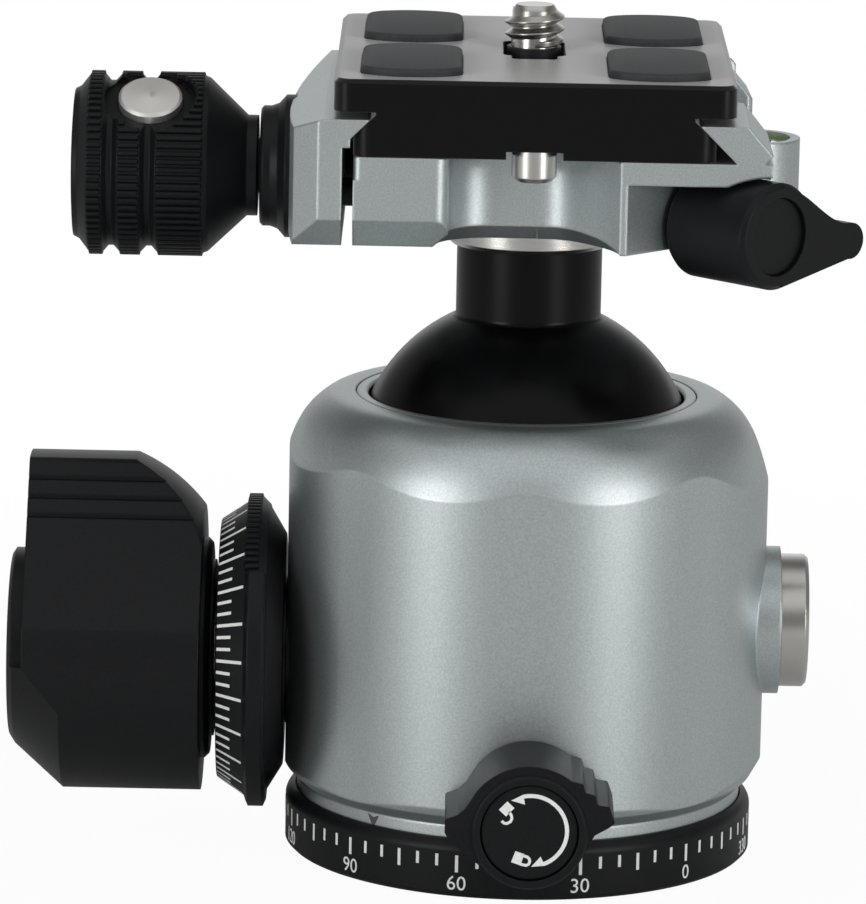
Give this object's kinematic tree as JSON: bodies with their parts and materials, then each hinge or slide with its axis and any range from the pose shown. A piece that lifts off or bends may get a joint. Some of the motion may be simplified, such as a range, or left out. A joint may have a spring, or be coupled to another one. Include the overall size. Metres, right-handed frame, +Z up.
{
  "type": "tripod ball head",
  "caption": "Ball head for a tripod: panning base, locking ball with drop notch, friction dial, panning dovetail clamp with knob and lever, quick-release plate with camera screw.",
  "frame": {"origin": "centre of the tripod thread's mouth in the face under the base", "axes": "+Z up along the pan axis, -Y the front where the pan lock is, -X the side with the main lock knob and the plate clamp's knob"},
  "size_m": [0.09, 0.0627, 0.0924],
  "materials": {
    "grey_anodised": "fine bead-blasted titanium-grey anodising, satin",
    "black_anodised": "bead-blasted black anodising, satin",
    "black_hard_coat": "smooth black hard coating, satin",
    "black_plate_coat": "smooth black anodising, satin",
    "stainless": "turned stainless steel, bright satin",
    "spring_steel": "plain spring steel",
    "bearing_alloy": "plain machined aluminium",
    "acetal": "black acetal, matt",
    "pad_rubber": "matt black rubber",
    "vial_acrylic": "clear acrylic over yellow-green fluid, glossy"
  },
  "bodies": {
    "base": {"base_plate": "black_anodised", "pan_dial": "black_anodised", "thread_insert": "stainless", "pan_spindle": "bearing_alloy", "base_screws": "stainless"},
    "shell": {"housing": "grey_anodised", "index_ring": "grey_anodised", "bearing_block": "bearing_alloy", "bearing_ring": "bearing_alloy", "collar_ring": "grey_anodised", "seat_ring": "acetal", "cup_spring": "spring_steel", "lock_bushing": "stainless", "side_plug": "stainless", "pan_lock_pad": "acetal"},
    "cup": {"ball_cup": "acetal"},
    "ball_and_stem": {"ball": "black_hard_coat", "stem_ring": "stainless", "clamp_spindle": "stainless"},
    "clamp": {"clamp_body": "grey_anodised", "clamp_cover": "stainless", "guide_pins": "stainless", "level_vial": "vial_acrylic"},
    "lock": {"lock_knob": "black_anodised", "lock_knob_cap": "black_anodised", "lock_bolt": "stainless"},
    "shoe": {"pressure_shoe": "stainless"},
    "friction": {"friction_dial": "black_anodised"},
    "pan_lock": {"pan_knob": "black_anodised", "pan_knob_cap": "black_anodised", "pan_lock_screw": "stainless"},
    "jaw": {"moving_jaw": "grey_anodised", "jaw_collar": "black_anodised"},
    "clamp_knob_set": {"clamp_knob": "black_anodised", "clamp_knob_cap": "black_anodised", "clamp_bolt": "stainless"},
    "button": {"press_button": "stainless"},
    "lever": {"clamp_lever": "black_anodised", "lever_cap": "black_anodised", "lever_screw": "stainless"},
    "plate": {"qr_plate": "black_plate_coat", "plate_pads": "pad_rubber", "stop_pins": "stainless"},
    "screw_seat": {"screw_washer": "acetal"},
    "screw": {"camera_screw": "stainless"}
  },
  "joints": [
    {"name": "pan", "type": "hinge", "parent": "base", "child": "shell", "pos_m": [0, 0, 0.0095], "axis": [0, 0, 1], "continuous": true},
    {"name": "ball_swivel", "type": "hinge", "parent": "shell", "child": "cup", "pos_m": [0, 0, 0.042], "axis": [0, 0, 1], "range_deg": [0, 360]},
    {"name": "ball_tilt", "type": "hinge", "parent": "cup", "child": "ball_and_stem", "pos_m": [0, 0, 0.042], "axis": [1, 0, 0], "range_deg": [-90, 35]},
    {"name": "clamp_pan", "type": "hinge", "parent": "ball_and_stem", "child": "clamp", "pos_m": [0, 0, 0.0695], "axis": [0, 0, 1], "continuous": true},
    {"name": "lock_turn", "type": "hinge", "parent": "shell", "child": "lock", "pos_m": [-0.03, 0, 0.02125], "axis": [1, 0, 0], "range_deg": [0, 120]},
    {"name": "shoe_slide", "type": "slide", "parent": "shell", "child": "shoe", "axis": [1, 0, 0], "range_m": [0, 0.00045]},
    {"name": "friction_turn", "type": "hinge", "parent": "shell", "child": "friction", "pos_m": [-0.029, 0, 0.02125], "axis": [1, 0, 0], "range_deg": [-90, 90]},
    {"name": "pan_lock_turn", "type": "hinge", "parent": "shell", "child": "pan_lock", "pos_m": [0.0009, -0.03, 0.01095], "axis": [0, -1, 0], "range_deg": [-60, 120]},
    {"name": "jaw_slide", "type": "slide", "parent": "clamp", "child": "jaw", "axis": [-1, 0, 0], "range_m": [0, 0.0025]},
    {"name": "clamp_knob_turn", "type": "hinge", "parent": "jaw", "child": "clamp_knob_set", "pos_m": [-0.04, 0, 0.0744], "axis": [-1, 0, 0], "range_deg": [0, 900]},
    {"name": "button_press", "type": "slide", "parent": "clamp_knob_set", "child": "button", "axis": [0, 0.5, -0.866], "range_m": [0, 0.001], "stiffness_N_per_m": 1500, "springref_m": -0.0004},
    {"name": "clamp_lever_turn", "type": "hinge", "parent": "clamp", "child": "lever", "pos_m": [0.02, -0.02, 0.0721], "axis": [0.7071, -0.7071, 0], "range_deg": [-120, 0]},
    {"name": "plate_slide", "type": "slide", "parent": "clamp", "child": "plate", "axis": [0, 1, 0], "range_m": [-0.0024, 0.0024]},
    {"name": "screw_slide", "type": "slide", "parent": "plate", "child": "screw_seat", "axis": [0, 1, 0], "range_m": [-0.0025, 0.0025]},
    {"name": "screw_turn", "type": "hinge", "parent": "screw_seat", "child": "screw", "pos_m": [0, 0, 0.085], "axis": [0, 0, 1], "continuous": true}
  ],
  "couplings": [
    {"joint": "shoe_slide", "follows": "lock_turn", "m_per_rad": 0.00019894},
    {"joint": "clamp_knob_turn", "follows": "jaw_slide", "rad_per_m": 6283}
  ]
}
